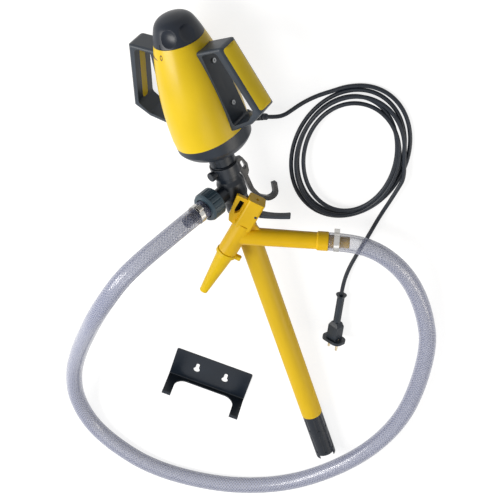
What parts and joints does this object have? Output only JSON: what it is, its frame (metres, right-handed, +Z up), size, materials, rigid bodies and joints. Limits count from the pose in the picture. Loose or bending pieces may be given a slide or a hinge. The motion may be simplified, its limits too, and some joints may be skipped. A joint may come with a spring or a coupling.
{
  "type": "electric drum pump set",
  "caption": "Electric drum pump with side handles, immersion tube, delivery hose with lever nozzle, mains lead with plug and a wall bracket, laid out on a floor.",
  "frame": {"origin": "on the floor, under the middle of the pump set without its hose and mains cord", "axes": "+Z up; +Y towards the speed dial, along the pump's tube seen from above; +X towards the right-hand handle and the coil of the mains cord"},
  "size_m": [0.8184, 1.0999, 0.2475],
  "materials": {
    "yellow_gloss": "glossy moulded plastic",
    "tube_yellow": "satin",
    "nozzle_yellow": "satin",
    "black_matte": "satin, fine texture",
    "nut_grey": "satin",
    "black_rubber": "satin",
    "hose_clear": "clear soft plastic with a woven braid inside",
    "steel": "bright",
    "pin_brass": "bright",
    "bracket_paint": "dark satin powder coat",
    "aluminium": "machined",
    "iron": "laminated",
    "copper": "enamelled copper wire",
    "carbon": "dull",
    "grey_plastic": "moulded",
    "board_green": "printed board"
  },
  "bodies": {
    "pump_set": {"motor_housing": "yellow_gloss", "base_cover": "black_matte", "handle_right": "black_matte", "handle_left": "black_matte", "grip_insert_right": "yellow_gloss", "grip_insert_left": "yellow_gloss", "handle_screws": "steel", "cable_gland": "black_rubber", "hook_clamp": "black_matte", "outlet_body": "black_matte", "shaft_seal": "black_rubber", "outlet_gasket": "black_rubber", "outlet_hose_tail": "black_matte", "hose_clamp_outlet": "steel", "outer_tube": "tube_yellow", "shaft_tube": "aluminium", "shaft_bushes": "grey_plastic", "foot_collar": "black_matte", "suction_foot": "black_matte", "motor_frame": "aluminium", "stator_core": "iron", "field_windings": "copper", "carbon_brushes": "carbon", "brush_holders": "pin_brass", "upper_bearing": "steel", "lower_bearing": "steel", "control_board": "board_green", "nozzle_body": "nozzle_yellow", "lever_pin": "steel", "valve_spring": "steel", "spout": "nozzle_yellow", "nozzle_hose_tail": "nozzle_yellow", "hose_clamp_nozzle": "steel", "plug_body": "black_matte", "plug_pins": "pin_brass", "supply_hose": "hose_clear", "mains_cord_lead": "black_rubber", "cord_coil": "black_rubber", "mains_cord_tail": "black_rubber"},
    "dial": {"speed_dial": "black_matte", "dial_spindle": "grey_plastic"},
    "rotor": {"rotor_shaft": "steel", "armature": "iron", "commutator": "pin_brass", "cooling_fan": "grey_plastic", "motor_coupling": "aluminium", "pump_coupling": "grey_plastic", "drive_shaft": "steel", "impeller": "grey_plastic"},
    "locking_collar": {"coupling_collar": "black_matte"},
    "thumb_screw": {"clamp_screw": "black_matte"},
    "nut": {"union_nut": "nut_grey"},
    "lever": {"nozzle_lever": "black_matte"},
    "stem": {"valve_stem": "steel"},
    "ring": {"spout_ring": "nozzle_yellow"},
    "bracket": {"wall_bracket": "bracket_paint"}
  },
  "joints": [
    {"name": "dial_turn", "type": "hinge", "parent": "pump_set", "child": "dial", "pos_m": [0.0447, 0.4625, 0.08028], "axis": [0, 0.998, 0.0628], "range_deg": [0, 270]},
    {"name": "rotor_spin", "type": "hinge", "parent": "pump_set", "child": "rotor", "pos_m": [0.0447, 0.2609, 0.06759], "axis": [0, 0.998, 0.0628], "continuous": true},
    {"name": "collar_turn", "type": "hinge", "parent": "pump_set", "child": "locking_collar", "pos_m": [0.0447, 0.22098, 0.06508], "axis": [0, 0.998, 0.0628], "range_deg": [0, 60]},
    {"name": "thumb_screw_turn", "type": "hinge", "parent": "pump_set", "child": "thumb_screw", "pos_m": [0.02764, 0.19893, 0.08902], "axis": [-0.5593, -0.0521, 0.8273], "continuous": true},
    {"name": "nut_turn", "type": "hinge", "parent": "pump_set", "child": "nut", "pos_m": [0.02065, 0.15487, 0.09663], "axis": [-0.5593, -0.0521, 0.8273], "continuous": true},
    {"name": "lever_swing", "type": "hinge", "parent": "pump_set", "child": "lever", "pos_m": [0.08444, 0.11355, 0.09112], "axis": [-0.1392, 0, -0.9903], "range_deg": [0, 20]},
    {"name": "stem_slide", "type": "slide", "parent": "pump_set", "child": "stem", "axis": [0.6703, 0.7361, -0.0942], "range_m": [0, 0.002], "stiffness_N_per_m": 500, "springref_m": -0.002},
    {"name": "ring_turn", "type": "hinge", "parent": "pump_set", "child": "ring", "pos_m": [0.01152, 0.04854, 0.10136], "axis": [0.6703, 0.7361, -0.0942], "range_deg": [0, 90]},
    {"name": "bracket_lift", "type": "slide", "parent": "pump_set", "child": "bracket", "axis": [0, 0, 1], "range_m": [0, 0.15]}
  ],
  "couplings": [
    {"joint": "lever_swing", "follows": "stem_slide", "rad_per_m": 157.08}
  ]
}
